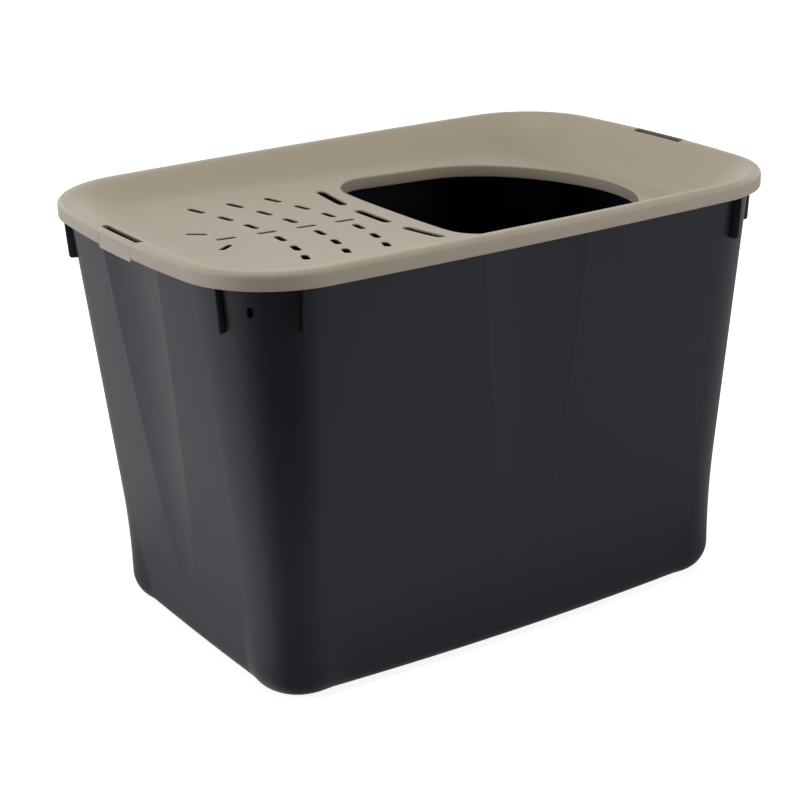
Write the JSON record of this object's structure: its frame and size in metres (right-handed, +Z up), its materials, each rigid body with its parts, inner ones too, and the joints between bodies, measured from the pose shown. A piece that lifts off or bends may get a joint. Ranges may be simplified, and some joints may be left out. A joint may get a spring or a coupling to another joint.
{
  "type": "top entry litter box",
  "caption": "Deep tapered plastic tub with round corner feet, and a dished lid held by snap tabs, with a D-shaped cat entry and slots for stray litter.",
  "frame": {"origin": "on the floor under the middle of the box", "axes": "+X along the long side towards the cat entry, -Y is the front, +Z up"},
  "size_m": [0.5882, 0.3918, 0.3885],
  "materials": {
    "tub_plastic": "anthracite polypropylene, fine satin",
    "lid_plastic": "warm grey taupe polypropylene, fine satin"
  },
  "bodies": {
    "tub": {"tub": "tub_plastic"},
    "lid": {"lid": "lid_plastic"},
    "left_tab": {"left_snap_tab": "lid_plastic"},
    "right_tab": {"right_snap_tab": "lid_plastic"}
  },
  "joints": [
    {"name": "lid_lift", "type": "slide", "parent": "tub", "child": "lid", "axis": [0, 0, 1], "range_m": [0, 0.15]},
    {"name": "left_tab_flex", "type": "hinge", "parent": "lid", "child": "left_tab", "pos_m": [-0.2885, 0, 0.3859], "axis": [0, 1, 0], "range_deg": [0, 8], "stiffness_Nm_per_rad": 0.4},
    {"name": "right_tab_flex", "type": "hinge", "parent": "lid", "child": "right_tab", "pos_m": [0.2885, 0, 0.3859], "axis": [0, -1, 0], "range_deg": [0, 8], "stiffness_Nm_per_rad": 0.4}
  ]
}
